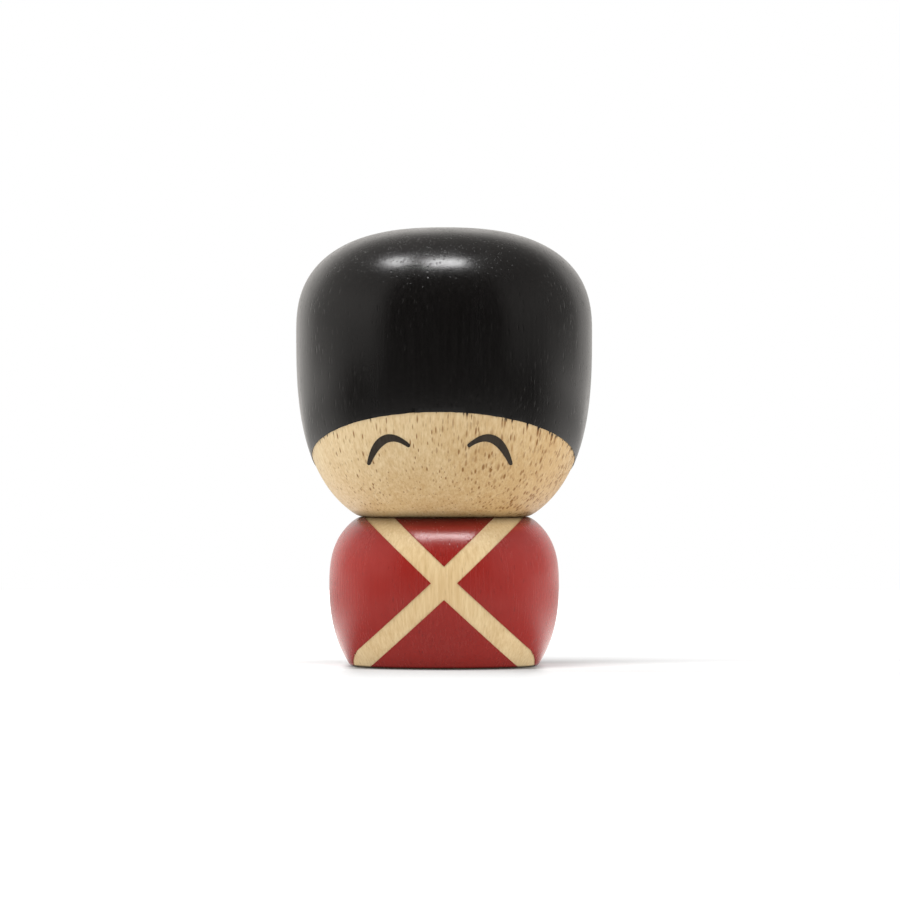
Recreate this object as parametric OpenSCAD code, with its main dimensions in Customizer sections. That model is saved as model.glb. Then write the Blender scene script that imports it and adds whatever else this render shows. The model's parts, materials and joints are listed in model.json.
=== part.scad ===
// Turned toy guardsman: a dipped head that turns on a peg set in a masked and sprayed body.
// Millimetres. The figure stands on the XY plane and faces -Y, so its own left is +X.

/* [Body] */
// Height of the body, from the table to the neck seat
body_h = 27.2; // [24:0.1:36]
// Widest diameter of the body
body_d = 41.6; // [36:0.1:50]
// Height of the body's widest ring above the table
body_belly = 14.7; // [10:0.1:20]
// How far the foot is drawn in from the widest ring
foot_draw = 3.95; // [1:0.05:8]
// How far the neck is drawn in from the widest ring
neck_draw = 5.4; // [2:0.1:8]
// Fullness of the shoulders, where 2 is an ellipse
shoulder_power = 2.7; // [1.6:0.02:4]
// Fullness of the skirt, where 2 is an ellipse
skirt_power = 2.2; // [1.6:0.02:4]
// Height of the broken edge round the foot
foot_edge = 0.7; // [0.2:0.1:1.5]
// How far that edge runs in under the foot
foot_under = 0.9; // [0.2:0.1:2]
// Height of each of the broken edges that leave the groove at the neck
neck_edge = 0.6; // [0.2:0.1:1]
// How far those edges run in between the body and the head
neck_under = 1; // [0.2:0.1:2]

/* [Head] */
// Height of the head above the neck seat
head_h = 52.6; // [46:0.1:66]
// Widest diameter of the head
head_d = 53.7; // [46:0.1:66]
// Height of the head's widest ring above the neck seat
head_belly = 33.7; // [26:0.1:40]
// Fullness of the crown, where 2 is an ellipse
crown_power = 2.52; // [1.6:0.02:4]
// Fullness of the cheeks and jaw, where 2 is an ellipse
jaw_power = 2.8; // [1.6:0.02:4]
// How far the face is turned from straight ahead at rest, in degrees
face_turn = -2.2; // [-30:0.1:30]

/* [Neck peg] */
// Diameter of the peg
peg_d = 10; // [8:0.1:14]
// Length of peg glued into the body
peg_in_body = 14; // [10:0.5:16]
// Length of peg that runs in the head
peg_in_head = 18; // [12:0.5:24]
// Bevel on both ends of the peg
peg_bevel = 1; // [0.4:0.1:2]
// How far the snap bead stands out of the peg
bead_rise = 0.5; // [0.2:0.05:0.8]
// Radius of the snap bead's rounding
bead_r = 1.5; // [1:0.1:2.5]
// Height of the snap bead above the neck seat
bead_z = 11; // [6:0.5:14]
// Radial room between the peg and the head's socket
run_gap = 0.08; // [0.02:0.01:0.1]
// Radial room for glue between the peg and the body's socket
glue_gap = 0.05; // [0.02:0.01:0.2]
// Room past each end of the peg
end_room = 1; // [0.5:0.1:3]
// Bevel at the mouth of each socket
mouth_bevel = 0.8; // [0.4:0.1:2]
// Point angle of the drill that ends each socket, in degrees
drill_angle = 118; // [90:1:150]

/* [Cap] */
// Height of the dip line above the neck seat, at the front of the face
cap_front = 18.9; // [12:0.1:28]
// Tilt of the dip line, down toward the back, in degrees
cap_tilt = 19.5; // [0:0.5:28]

/* [Belts] */
// Width of the bare belts
belt_w = 3.8; // [2:0.02:6]
// Height of the crossing, as a share of the body's height
cross_share = 0.57; // [0.4:0.01:0.7]
// How far the upper and lower arms aim past the crossing
cross_ease = 0.38; // [0:0.02:1]
// Distance from the middle at which the belts run under the head
belt_neck = 11.7; // [8:0.1:14]
// Distance from the middle at which the belts would meet the table
belt_table = 16.35; // [12:0.1:22]
// Distance from the middle at which the belts' outer edges turn down to the foot
belt_side = 16.5; // [12:0.1:19]
// Length over which those edges turn
belt_bend = 1.6; // [1:0.1:4]

/* [Eyes] */
// Distance of each eye's inner end from the middle of the face
eye_in_x = 5.45; // [4:0.05:8]
// Height of the inner end above the neck seat
eye_in_z = 13; // [10:0.05:16]
// Distance of each eye's outer end from the middle of the face
eye_out_x = 12.7; // [10:0.05:15]
// Height of the outer end above the neck seat
eye_out_z = 9.8; // [7:0.05:13]
// Distance from the middle of the face of the point that both limbs of an eye aim at
eye_peak_x = 10.3; // [8:0.05:12]
// Height of that point above the neck seat
eye_peak_z = 16.75; // [14:0.05:18]
// Width of an eye's stroke at its fullest
eye_stroke = 1.55; // [0.8:0.05:2]
// Width of the stroke at both ends
eye_tip = 0.7; // [0.4:0.05:1]
// Pull of the fullest place toward the outer end, where 1 is the middle
eye_skew = 1.27; // [1:0.01:1.6]

/* [Finish] */
// Thickness of a lacquer coat
coat = 0.15; // [0.1:0.01:0.3]
// Thickness of the printed eyes
ink = 0.1; // [0.05:0.01:0.2]
// Room between a finish and the wood that it lies on
finish_gap = 0.04; // [0.03:0.01:0.1]

/* [Hidden] */
$fn = 96;

// Steps along each flank, round each broken edge and along each eye
flank_steps = 18;
edge_steps = 4;
arch_steps = 20;
tip_steps = 6;

// How far round the broken edges the tunic's coat goes
turn_share = 0.25;

// How far cuts run past what they cut
overrun = 1;
reach = head_d + head_h;

body_r = body_d / 2;
head_r = head_d / 2;
foot_r = body_r - foot_draw;
neck_r = body_r - neck_draw;
peg_r = peg_d / 2;
bead_x = peg_r + bead_rise - bead_r;

// Half heights of the four flanks, so that each passes through the ring that ends it
skirt_half = half_height(body_belly, body_r, foot_r, skirt_power);
shoulder_half = half_height(body_h - body_belly, body_r, neck_r, shoulder_power);
jaw_half = half_height(head_belly, head_r, neck_r, jaw_power);
crown_half = head_h - head_belly;

// Radius of the head where the dip line crosses the front of the face
dip_r = head_r * pow(1 - pow((head_belly - cap_front) / jaw_half, jaw_power), 1 / jaw_power);

// Ends of an eye's arch, and the point that its limbs aim at
eye_inner = [eye_in_x, eye_in_z];
eye_outer = [eye_out_x, eye_out_z];
eye_peak = [eye_peak_x, eye_peak_z];

// Slopes of the belts, and the points of the patches between them
cross_z = cross_share * body_h;
upper_z = cross_z + cross_ease;
lower_z = cross_z - cross_ease;
chest_pitch = atan2(body_h - upper_z, belt_neck);
skirt_pitch = atan2(lower_z, belt_table);
upper_half_w = belt_w / cos(chest_pitch) / 2;
lower_half_w = belt_w / cos(skirt_pitch) / 2;
chest_z = upper_z + upper_half_w;
skirt_z = lower_z - lower_half_w;
side_x = (lower_z + lower_half_w - upper_z + upper_half_w) / (tan(chest_pitch) + tan(skirt_pitch));
side_z = upper_z - upper_half_w + side_x * tan(chest_pitch);
bend_z = side_z - (belt_side - side_x) * tan(skirt_pitch);

// Half height of a flank that narrows from one radius to another over a given length
function half_height(length, wide, narrow, power) = length / pow(1 - pow(narrow / wide, power), 1 / power);

// Radii and distances along a flank, from the widest ring
function flank(wide, half, power, length) =
    let (last = asin(min(1, pow(length / half, power / 2))))
    [for (i = [0 : flank_steps])
        let (a = last * i / flank_steps)
        [wide * pow(cos(a), 2 / power), half * pow(sin(a), 2 / power)]];

// Eased corner from p to s, with q as the sharp corner
function eased(p, q, s) =
    [for (i = [0 : edge_steps])
        let (t = i / edge_steps)
        pow(1 - t, 2) * p + 2 * t * (1 - t) * q + pow(t, 2) * s];

// One point of that corner, grown outward for a finish
function eased_skin(p, q, s, t, grow) =
    let (way = (1 - t) * (q - p) + t * (s - q))
    pow(1 - t, 2) * p + 2 * t * (1 - t) * q + pow(t, 2) * s + grow * [way[1], -way[0]] / norm(way);

function reversed(list) = [for (i = [len(list) - 1 : -1 : 0]) list[i]];

function rest(list) = [for (i = [1 : len(list) - 1]) list[i]];

// A side outline from its lowest ring to its highest, through the widest ring at height z
function side(z, low, high) =
    concat([for (p = reversed(low)) [p[0], z - p[1]]], [for (p = rest(high)) [p[0], z + p[1]]]);

// The body's side and the head's side, grown outward for a finish
function body_side(grow) = side(
    body_belly,
    flank(body_r + grow, skirt_half + grow, skirt_power, body_belly - foot_edge),
    flank(body_r + grow, shoulder_half + grow, shoulder_power, body_h - neck_edge - body_belly));

// The tunic's side, which turns in over the broken edges at the foot and the neck
function tunic_side(grow) =
    let (flanks = body_side(0), top = flanks[len(flanks) - 1])
    concat(
        [eased_skin([foot_r - foot_under, 0], [foot_r, 0], flanks[0], 1 - turn_share, grow)],
        body_side(grow),
        [eased_skin(top, [neck_r, body_h], [neck_r - neck_under, body_h], turn_share, grow)]);

function head_side(grow) = side(
    head_belly,
    flank(head_r + grow, jaw_half + grow, jaw_power, head_belly - neck_edge),
    flank(head_r + grow, crown_half + grow, crown_power, crown_half + grow));

// Half section of a drilled socket that runs up from the neck seat, for a given length of peg
module socket(r, length) {
    polygon([
        [0, -overrun],
        [r + mouth_bevel + overrun, -overrun],
        [r, mouth_bevel],
        [r, length + end_room],
        [0, length + end_room + r / tan(drill_angle / 2)]]);
}

// Half section of the snap bead, or of the groove that it runs in
module bead(grow) {
    translate([bead_x, bead_z])
        circle(r = bead_r + grow);
}

// A thin layer over a side, and the side moved up to the neck for the head
module body_layer(thick) {
    rotate_extrude()
        polygon(concat(tunic_side(finish_gap + thick), reversed(tunic_side(finish_gap))));
}

module head_layer(thick) {
    translate([0, 0, body_h])
        rotate_extrude()
            polygon(concat(head_side(finish_gap + thick), reversed(head_side(finish_gap))));
}

// A patch of the tunic: the coat under a front view, from the middle out to one face
module front_patch() {
    intersection() {
        body_layer(coat);
        rotate([90, 0, 0])
            linear_extrude(reach)
                children();
    }
}

module chest_view() {
    polygon([
        [0, chest_z],
        [reach, chest_z + reach * tan(chest_pitch)],
        [-reach, chest_z + reach * tan(chest_pitch)]]);
}

module skirt_view() {
    polygon([
        [0, skirt_z],
        [-reach, skirt_z - reach * tan(skirt_pitch)],
        [reach, skirt_z - reach * tan(skirt_pitch)]]);
}

module side_view() {
    polygon(concat(
        [[reach, side_z + (reach - side_x) * tan(chest_pitch)], [side_x, side_z]],
        eased(
            [belt_side - belt_bend * cos(skirt_pitch), bend_z + belt_bend * sin(skirt_pitch)],
            [belt_side, bend_z],
            [belt_side, bend_z - belt_bend]),
        [[belt_side, -reach], [reach, -reach]]));
}

// Front view of one eye: a bowed arch that falls toward the ear, with round tips
module eye_view() {
    polygon(concat(
        [for (i = [0 : arch_steps]) arch_edge(i / arch_steps, 1)],
        [for (i = [1 : tip_steps - 1]) arch_tip(1, 90 - 180 * i / tip_steps)],
        [for (i = [arch_steps : -1 : 0]) arch_edge(i / arch_steps, -1)],
        [for (i = [1 : tip_steps - 1]) arch_tip(0, -90 - 180 * i / tip_steps)]));
}

function arch_middle(t) = pow(1 - t, 2) * eye_inner + 2 * t * (1 - t) * eye_peak + pow(t, 2) * eye_outer;

function arch_way(t) =
    let (way = (1 - t) * (eye_peak - eye_inner) + t * (eye_outer - eye_peak))
    way / norm(way);

function arch_width(t) = eye_tip + (eye_stroke - eye_tip) * sin(180 * pow(t, eye_skew));

function arch_edge(t, edge) =
    let (way = arch_way(t))
    arch_middle(t) + edge * arch_width(t) / 2 * [-way[1], way[0]];

function arch_tip(t, a) =
    let (way = arch_way(t))
    arch_middle(t) + eye_tip / 2 * (cos(a) * way + sin(a) * [-way[1], way[0]]);

// Turned and drilled body block
module body_block() {
    color("#d9b287")
        rotate_extrude()
            difference() {
                polygon(concat(
                    [[0, 0]],
                    eased([foot_r - foot_under, 0], [foot_r, 0], body_side(0)[0]),
                    rest(body_side(0)),
                    rest(eased(body_side(0)[len(body_side(0)) - 1], [neck_r, body_h], [neck_r - neck_under, body_h])),
                    [[0, body_h]]));
                translate([0, body_h])
                    mirror([0, 1])
                        socket(peg_r + glue_gap, peg_in_body);
            }
}

// Peg glued into the body, with the bead that keeps the head on
module neck_peg() {
    color("#e6cda5")
        translate([0, 0, body_h])
            rotate_extrude() {
                polygon([
                    [0, -peg_in_body],
                    [peg_r - peg_bevel, -peg_in_body],
                    [peg_r, peg_bevel - peg_in_body],
                    [peg_r, peg_in_head - peg_bevel],
                    [peg_r - peg_bevel, peg_in_head],
                    [0, peg_in_head]]);
                bead(0);
            }
}

// Turned and drilled head block
module head_block() {
    color("#d9b287")
        translate([0, 0, body_h])
            rotate_extrude()
                difference() {
                    polygon(concat(
                        [[0, 0]],
                        eased([neck_r - neck_under, 0], [neck_r, 0], head_side(0)[0]),
                        rest(head_side(0))));
                    socket(peg_r + run_gap, peg_in_head);
                    bead(run_gap);
                }
}

// Black lacquer above the dip line
module cap_coat() {
    color("#191818")
        intersection() {
            head_layer(coat);
            rotate([0, 0, face_turn])
                translate([0, -dip_r, body_h + cap_front])
                    rotate([-cap_tilt, 0, 0])
                        translate([-reach, -reach, 0])
                            cube([2 * reach, 3 * reach, reach]);
        }
}

// Red lacquer above, below and beside the crossed belts
module chest_front() {
    color("#a33632")
        front_patch()
            chest_view();
}

module skirt_front() {
    color("#a33632")
        front_patch()
            skirt_view();
}

module chest_back() {
    mirror([0, 1, 0])
        chest_front();
}

module skirt_back() {
    mirror([0, 1, 0])
        skirt_front();
}

module tunic_left() {
    color("#a33632")
        intersection() {
            body_layer(coat);
            rotate([90, 0, 0])
                linear_extrude(2 * reach, center = true)
                    side_view();
        }
}

module tunic_right() {
    mirror([1, 0, 0])
        tunic_left();
}

// Printed eyes, the figure's own left at positive X
module eye() {
    color("#2c2927")
        intersection() {
            head_layer(ink);
            rotate([90, 0, 0])
                linear_extrude(reach)
                    translate([0, body_h])
                        eye_view();
        }
}

module eye_left() {
    rotate([0, 0, face_turn])
        eye();
}

module eye_right() {
    rotate([0, 0, face_turn])
        mirror([1, 0, 0])
            eye();
}

body_block();
neck_peg();
head_block();
cap_coat();
chest_front();
skirt_front();
chest_back();
skirt_back();
tunic_left();
tunic_right();
eye_left();
eye_right();
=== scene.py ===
import json
import math
from types import SimpleNamespace

import bmesh
import bpy
from mathutils import Matrix, Vector, noise

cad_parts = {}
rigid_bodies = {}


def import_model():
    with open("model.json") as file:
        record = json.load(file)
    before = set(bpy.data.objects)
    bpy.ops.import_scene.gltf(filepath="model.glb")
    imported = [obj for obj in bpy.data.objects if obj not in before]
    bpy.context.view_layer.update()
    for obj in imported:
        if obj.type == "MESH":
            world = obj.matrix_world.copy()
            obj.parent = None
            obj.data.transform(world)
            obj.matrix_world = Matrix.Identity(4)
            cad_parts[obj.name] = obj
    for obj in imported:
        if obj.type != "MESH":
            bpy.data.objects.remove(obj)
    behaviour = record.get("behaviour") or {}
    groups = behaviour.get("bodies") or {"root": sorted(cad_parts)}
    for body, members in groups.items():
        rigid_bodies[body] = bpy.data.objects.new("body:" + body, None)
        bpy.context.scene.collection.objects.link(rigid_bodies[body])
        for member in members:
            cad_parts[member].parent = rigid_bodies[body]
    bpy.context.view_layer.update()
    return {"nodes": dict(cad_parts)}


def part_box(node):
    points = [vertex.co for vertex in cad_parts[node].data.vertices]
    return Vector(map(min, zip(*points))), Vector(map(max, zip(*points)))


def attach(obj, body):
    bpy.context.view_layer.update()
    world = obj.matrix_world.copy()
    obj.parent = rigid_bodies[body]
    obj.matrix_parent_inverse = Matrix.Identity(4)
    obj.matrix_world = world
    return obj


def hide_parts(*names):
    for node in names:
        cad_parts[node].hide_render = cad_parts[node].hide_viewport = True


bl_info = {
    "name": "Turned Toy Guardsman",
    "version": (1, 0, 0),
    "blender": (4, 5, 0),
    "location": "View3D > Sidebar > Guardsman",
    "description": "Dresses the turned toy guardsman: wood, dipped cap, sprayed tunic and printed eyes",
    "category": "Object",
}

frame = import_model()
BODY_LOW, BODY_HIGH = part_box("body_block")
HEAD_LOW, HEAD_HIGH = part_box("head_block")

# Steps along a flank, round the axis, round a corner, down a groove and round the rim of a finish
FLANK_STEPS, ROUND_STEPS, EDGE_STEPS, GROOVE_STEPS, RIM_STEPS = 40, 256, 5, 8, 2

# Steps along an eye's stroke, across it and round each tip, and how far round the tip they go
EYE_LONG, EYE_ACROSS, EYE_ROUND, EYE_SWEEP = 44, 8, 6, math.radians(86.0)

# Steps round the floor and the tent liner
FLOOR_STEPS, LINER_STEPS = 96, 48

# Angle past which two faces meet in a sharp edge
SHARP_ANGLE = math.radians(40.0)

# Closest that two vertices may lie before they count as one
MERGE = 1e-7

# How far round the broken edges at the foot and the neck the spray reaches
FOOT_SPRAY, NECK_SPRAY = (0.62, 0.8), (0.2, 0.4, 0.6)

# Pitch and share of the two waves in which the dip line strays
DIP_WAVES = ((900.0, 1.0), (2600.0, 0.6))

# Room round the bend of the belts in which its lines are cut
BEND_ROOM, BEND_SIDE = 0.0006, 0.001

# Refraction of the finishes
WOOD_IOR, PEG_IOR, LACQUER_IOR, INK_IOR = 1.38, 1.5, 1.5, 1.36

# Painted shade in the groove at the neck and under the foot, on wood and on red lacquer
WOOD_PAINTED_SHADE, RED_PAINTED_SHADE = (0.022, 0.011, 0.005), (0.020, 0.001, 0.001)

# Radii of the floor and the tent liner, and the liner's hole and height round the foot
FLOOR_RADIUS, LINER_RADIUS, LINER_HOLE, LINER_LIFT = 0.6, 0.9, 0.0172, 0.0006

# Light of the tent on plain surfaces, and its tint in reflections
TENT_LEVEL, TENT_TINT = 0.25, (1.0, 0.965, 0.925, 1.0)

# Pieces that the lamp over the chest lights, and those that the lamps behind the tunic light
GLINT_PIECES = ("body_wood", "chest_lacquer_front", "side_lacquer_left", "side_lacquer_right")
RIM_PIECES = ("side_lacquer_left", "side_lacquer_right")

# Lamps: name, place, aim, width, depth, radiance, shown in reflections or not, lighting matt surfaces
# or not, and the pieces lit, where no name means all
LAMPS = (
    ("top_panel", (0.006, -0.102, 0.80), (0, 0, 0.05), 0.25, 0.18, 18.0, True, True, ()),
    ("left_panel", (-0.295, 0.03, 0.79), (0, 0, 0.05), 0.20, 0.15, 15.5, True, True, ()),
    ("front_top", (-0.15, -0.27, 0.80), (0, 0, 0.04), 0.32, 0.32, 13.0, False, True, ()),
    ("left_wall", (-0.62, 0.0, 0.50), (0, 0, 0.04), 0.90, 0.90, 1.18, False, True, ()),
    ("right_wall", (0.60, -0.15, 0.42), (0, 0, 0.04), 0.90, 0.80, 1.66, False, True, ()),
    ("chest_glint", (0.0, -0.318, 0.755), (0, -0.018, 0.024), 0.68, 0.15, 24.0, True, False, GLINT_PIECES),
    ("tunic_rim_left", (-0.45, 0.22, 0.22), (0, 0, 0.015), 0.35, 0.35, 2.2, False, True, RIM_PIECES),
    ("tunic_rim_right", (0.45, 0.22, 0.22), (0, 0, 0.015), 0.35, 0.35, 3.4, False, True, RIM_PIECES),
)

CAMERA_SPOT, CAMERA_LENS, CAMERA_SENSOR = (0.00107, -1.1, 0.03939), 241.3, 36.0


def length(name, text, value):
    return bpy.props.FloatProperty(name=name, description=text, default=value, unit="LENGTH", precision=5)


def angle(name, text, degrees):
    return bpy.props.FloatProperty(
        name=name, description=text, default=math.radians(degrees), subtype="ANGLE")


def number(name, text, value):
    return bpy.props.FloatProperty(name=name, description=text, default=value, precision=3)


def colour(name, text, value):
    return bpy.props.FloatVectorProperty(
        name=name, description=text, default=value, size=3, subtype="COLOR", min=0.0, max=1.0)


class GuardsmanTurning(bpy.types.PropertyGroup):
    """Turned outlines of the body and the head, and the sockets drilled in them."""
    body_height: length("Body Height", "From the table to the neck seat", BODY_HIGH.z - BODY_LOW.z)
    body_width: length("Body Width", "Widest diameter of the body", BODY_HIGH.x - BODY_LOW.x)
    body_belly: length("Body Belly", "Height of the body's widest ring", 0.0147)
    foot_draw: length("Foot Draw", "How far the foot is drawn in", 0.00395)
    neck_draw: length("Neck Draw", "How far the neck is drawn in", 0.0054)
    shoulder_power: number("Shoulder Fullness", "Fullness of the shoulders, where 2 is an ellipse", 2.7)
    skirt_power: number("Skirt Fullness", "Fullness of the skirt, where 2 is an ellipse", 2.2)
    foot_edge: length("Foot Edge", "Height of the broken edge round the foot", 0.0007)
    foot_under: length("Foot Undercut", "How far that edge runs in under the foot", 0.0009)
    neck_edge: length("Neck Edge", "Height of the broken edges that leave the groove at the neck", 0.0006)
    neck_under: length("Neck Undercut", "How far those edges run in between body and head", 0.001)
    head_height: length("Head Height", "From the neck seat to the crown", HEAD_HIGH.z - HEAD_LOW.z)
    head_width: length("Head Width", "Widest diameter of the head", HEAD_HIGH.x - HEAD_LOW.x)
    head_belly: length("Head Belly", "Height of the head's widest ring above the neck seat", 0.0337)
    crown_power: number("Crown Fullness", "Fullness of the crown, where 2 is an ellipse", 2.52)
    jaw_power: number("Jaw Fullness", "Fullness of the cheeks and jaw, where 2 is an ellipse", 2.8)
    face_turn: angle("Face Turn", "How far the face is turned from straight ahead", -2.2)
    peg_width: length("Peg Width", "Diameter of the neck peg", 0.010)
    body_socket: length("Body Socket", "Depth of the body's socket", 0.015)
    head_socket: length("Head Socket", "Depth of the head's socket", 0.019)
    glue_gap: length("Glue Gap", "Radial room round the peg in the body", 0.00005)
    run_gap: length("Running Gap", "Radial room round the peg in the head", 0.00008)
    seat_gap: length("Seat Gap", "Room on which the head's seat turns over the body's", 0.00002)
    mouth_bevel: length("Mouth Bevel", "Bevel at the mouth of each socket", 0.0008)
    drill_angle: angle("Drill Angle", "Point angle of the drill that ends each socket", 118.0)
    groove_height: length("Groove Height", "Height of the bead's groove above the neck seat", 0.011)
    groove_round: length("Groove Round", "Radius of the groove's rounding", 0.00158)
    groove_depth: length("Groove Depth", "Depth of the groove in the head's socket", 0.0005)


class GuardsmanLivery(bpy.types.PropertyGroup):
    """Lines of the dipped cap, the crossed belts and the printed eyes."""
    cap_front: length("Cap Front", "Height of the dip line above the neck seat, at the face", 0.0189)
    cap_tilt: angle("Cap Tilt", "Tilt of the dip line, down toward the back", 19.5)
    cap_wander: length("Cap Wander", "How far the dip line strays along the grain", 0.00007)
    belt_width: length("Belt Width", "Width of the bare belts", 0.0038)
    cross_share: number("Crossing Height", "Height of the crossing as a share of the body's height", 0.57)
    cross_ease: length("Crossing Ease", "How far the arms aim past the crossing", 0.00038)
    belt_neck: length("Belts at Neck", "Distance of the belts from the middle at the head", 0.0117)
    belt_table: length("Belts at Table", "Distance of the belts from the middle at the table", 0.01635)
    belt_side: length("Belt Sides", "How far out the belts' edges turn down", 0.0165)
    belt_bend: length("Belt Bend", "Length over which those edges turn", 0.0016)
    eye_in_x: length("Eye Inner End", "How far out each eye's inner end lies", 0.00545)
    eye_in_z: length("Eye Inner Height", "Height of the inner end above the neck seat", 0.013)
    eye_out_x: length("Eye Outer End", "How far out each eye's outer end lies", 0.0127)
    eye_out_z: length("Eye Outer Height", "Height of the outer end above the neck seat", 0.0098)
    eye_peak_x: length("Eye Peak", "Distance from the middle of the point that both limbs aim at", 0.0103)
    eye_peak_z: length("Eye Peak Height", "Height of that point above the neck seat", 0.01675)
    eye_stroke: length("Eye Stroke", "Width of an eye's stroke at its fullest", 0.00155)
    eye_tip: length("Eye Tip", "Width of the stroke at both ends", 0.0007)
    eye_skew: number("Eye Skew", "Pull of the fullest place toward the outer end", 1.27)
    coat: length("Coat", "Thickness of a lacquer coat", 0.00009)
    ink: length("Ink", "Thickness of the printed eyes", 0.00004)
    gap: length("Finish Gap", "Room between a finish and the wood under it", 0.00004)
    rim: length("Rim", "Rounding of a finish's edge", 0.00003)


class GuardsmanColours(bpy.types.PropertyGroup):
    """Colours of the wood and the finishes."""
    wood_pale: colour("Pale Wood", "Earlywood of the bare wood", (0.755, 0.60, 0.357))
    wood_warm: colour("Warm Wood", "Latewood of the bare wood", (0.525, 0.338, 0.146))
    vessel: colour("Vessels", "Open vessels in the bare wood", (0.22, 0.086, 0.010))
    peg: colour("Peg Wood", "Closer wood of the neck peg", (0.74, 0.54, 0.32))
    black: colour("Black Lacquer", "Dipped cap", (0.0042, 0.0037, 0.0035))
    red: colour("Red Lacquer", "Sprayed tunic", (0.285, 0.0145, 0.0100))
    red_deep: colour("Deep Red", "Red lacquer sunk in the vessels", (0.085, 0.005, 0.005))
    ink: colour("Eye Ink", "Printed eyes", (0.026, 0.018, 0.011))
    ink_thin: colour("Thin Ink", "Eye ink where the grain shows through", (0.056, 0.043, 0.029))
    floor: colour("Floor", "Plain pale floor", (0.42, 0.42, 0.42))


# Outlines

def half_height(run, wide, narrow, power):
    return run / (1 - (narrow / wide) ** power) ** (1 / power)


def flank(wide, half, power, run):
    """Radii and distances along a flank, from the widest ring."""
    last = math.asin(min(1.0, (run / half) ** (power / 2)))
    steps = [last * i / FLANK_STEPS for i in range(FLANK_STEPS + 1)]
    return [(wide * max(0.0, math.cos(a)) ** (2 / power), half * math.sin(a) ** (2 / power)) for a in steps]


def side(belly, low, high):
    """A side outline from its lowest ring to its highest."""
    return [(r, belly - d) for r, d in reversed(low)] + [(r, belly + d) for r, d in high[1:]]


def corner_point(start, corner, end, t):
    return tuple((1 - t) ** 2 * a + 2 * t * (1 - t) * b + t ** 2 * c for a, b, c in zip(start, corner, end))


def eased(start, corner, end):
    """A rounded corner from start to end."""
    return [corner_point(start, corner, end, i / EDGE_STEPS) for i in range(EDGE_STEPS + 1)]


def foot_radius(sizes):
    return sizes.body_width / 2 - sizes.foot_draw


def neck_radius(sizes):
    return sizes.body_width / 2 - sizes.neck_draw


def foot_corner(sizes, flanks):
    """Start, corner and end of the broken edge round the foot."""
    foot = foot_radius(sizes)
    return (foot - sizes.foot_under, 0.0), (foot, 0.0), flanks[0]


def neck_corner(sizes, flanks):
    """Start, corner and end of the body's broken edge at the neck."""
    neck, top = neck_radius(sizes), sizes.body_height
    return flanks[-1], (neck, top), (neck - sizes.neck_under, top)


def body_side(sizes, grow):
    wide = sizes.body_width / 2
    skirt = half_height(sizes.body_belly, wide, foot_radius(sizes), sizes.skirt_power)
    shoulder_run = sizes.body_height - sizes.body_belly
    shoulder = half_height(shoulder_run, wide, neck_radius(sizes), sizes.shoulder_power)
    return side(
        sizes.body_belly,
        flank(wide + grow, skirt + grow, sizes.skirt_power, sizes.body_belly - sizes.foot_edge),
        flank(wide + grow, shoulder + grow, sizes.shoulder_power, shoulder_run - sizes.neck_edge))


def jaw_half(sizes):
    return half_height(sizes.head_belly, sizes.head_width / 2, neck_radius(sizes), sizes.jaw_power)


def head_side(sizes, grow):
    wide = sizes.head_width / 2
    crown = sizes.head_height - sizes.head_belly
    outline = side(
        sizes.head_belly,
        flank(wide + grow, jaw_half(sizes) + grow, sizes.jaw_power, sizes.head_belly - sizes.neck_edge),
        flank(wide + grow, crown + grow, sizes.crown_power, crown + grow))
    return [(r, z + sizes.body_height) for r, z in outline]


def head_radius(sizes, grow, z):
    """Radius of the head at a height above the table."""
    rise = z - sizes.body_height - sizes.head_belly
    if rise < 0:
        half, power = jaw_half(sizes) + grow, sizes.jaw_power
    else:
        half, power = sizes.head_height - sizes.head_belly + grow, sizes.crown_power
    return (sizes.head_width / 2 + grow) * (1 - (abs(rise) / half) ** power) ** (1 / power)


def socket(sizes, gap, depth, groove):
    """Half section of a drilled socket that runs up from a seat at height 0, from the axis to the mouth."""
    r = sizes.peg_width / 2 + gap
    points = [(0.0, depth + r / math.tan(sizes.drill_angle / 2)), (r, depth)]
    if groove:
        centre = r + sizes.groove_depth - sizes.groove_round
        reach = math.acos((r - centre) / sizes.groove_round)
        for i in range(GROOVE_STEPS + 1):
            a = reach * (1 - 2 * i / GROOVE_STEPS)
            points.append((centre + sizes.groove_round * math.cos(a),
                           sizes.groove_height + sizes.groove_round * math.sin(a)))
    return points + [(r, sizes.mouth_bevel), (r + sizes.mouth_bevel, 0.0)]


# Meshes

def turned(outline, steps=ROUND_STEPS):
    """A half section spun into a round form."""
    bm = bmesh.new()
    verts = [bm.verts.new((r, 0.0, z)) for r, z in outline]
    edges = [bm.edges.new(pair) for pair in zip(verts, verts[1:])]
    bmesh.ops.spin(bm, geom=verts + edges, cent=(0, 0, 0), axis=(0, 0, 1), angle=math.tau, steps=steps,
                   use_merge=True)
    bmesh.ops.remove_doubles(bm, verts=bm.verts, dist=MERGE)
    bmesh.ops.recalc_face_normals(bm, faces=bm.faces)
    return bm


def everything(bm):
    return bm.verts[:] + bm.edges[:] + bm.faces[:]


def keep_side(bm, point, outward):
    """Cuts a skin by a plane and drops what lies outward of it."""
    bmesh.ops.bisect_plane(bm, geom=everything(bm), dist=MERGE, plane_co=point, plane_no=outward,
                           clear_outer=True)


def score(bm, point, outward, near):
    """Cuts a skin by a plane where a test on the face holds, and drops nothing."""
    faces = [f for f in bm.faces if near(f.calc_center_median())]
    edges = {e for f in faces for e in f.edges}
    verts = {v for f in faces for v in f.verts}
    bmesh.ops.bisect_plane(bm, geom=list(verts) + list(edges) + faces, dist=MERGE, plane_co=point,
                           plane_no=outward)


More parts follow.
